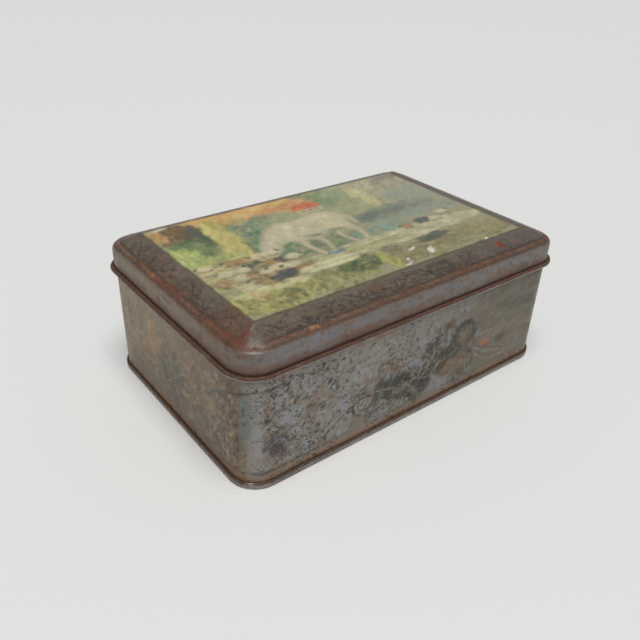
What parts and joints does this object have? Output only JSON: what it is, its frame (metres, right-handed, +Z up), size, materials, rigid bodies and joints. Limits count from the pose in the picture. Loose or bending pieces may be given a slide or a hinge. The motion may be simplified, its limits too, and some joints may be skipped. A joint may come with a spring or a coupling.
{
  "type": "cookie tin",
  "caption": "Rectangular tinplate biscuit tin with rounded upright corners, a double-seamed bottom and a deep hinged lid with a flat picture top, sloping border and wired rim.",
  "frame": {"origin": "middle of the underside, at the height of the surface that the bottom seam stands on", "axes": "+X along the long side to the right, +Y towards the hinged back, +Z up"},
  "size_m": [0.247, 0.164, 0.0934],
  "materials": {
    "printed_body": "worn lithographed tinplate, satin, rusty at the edges",
    "printed_lid": "worn lithographed tinplate, satin, rusty at the edges",
    "plain_tinplate": "dull tinned steel with light rust",
    "rim_wire": "dull dark iron wire",
    "strap_metal": "dull tinned steel with rust"
  },
  "bodies": {
    "tin_body": {"body_wall": "printed_body", "bottom_panel": "plain_tinplate", "hinge_strap_left": "strap_metal", "hinge_strap_right": "strap_metal"},
    "lid": {"lid_shell": "printed_lid", "lid_wire": "rim_wire"}
  },
  "joints": [
    {"name": "lid_hinge", "type": "hinge", "parent": "tin_body", "child": "lid", "pos_m": [0, 0.0806, 0.0726], "axis": [-1, 0, 0], "range_deg": [0, 110]}
  ]
}
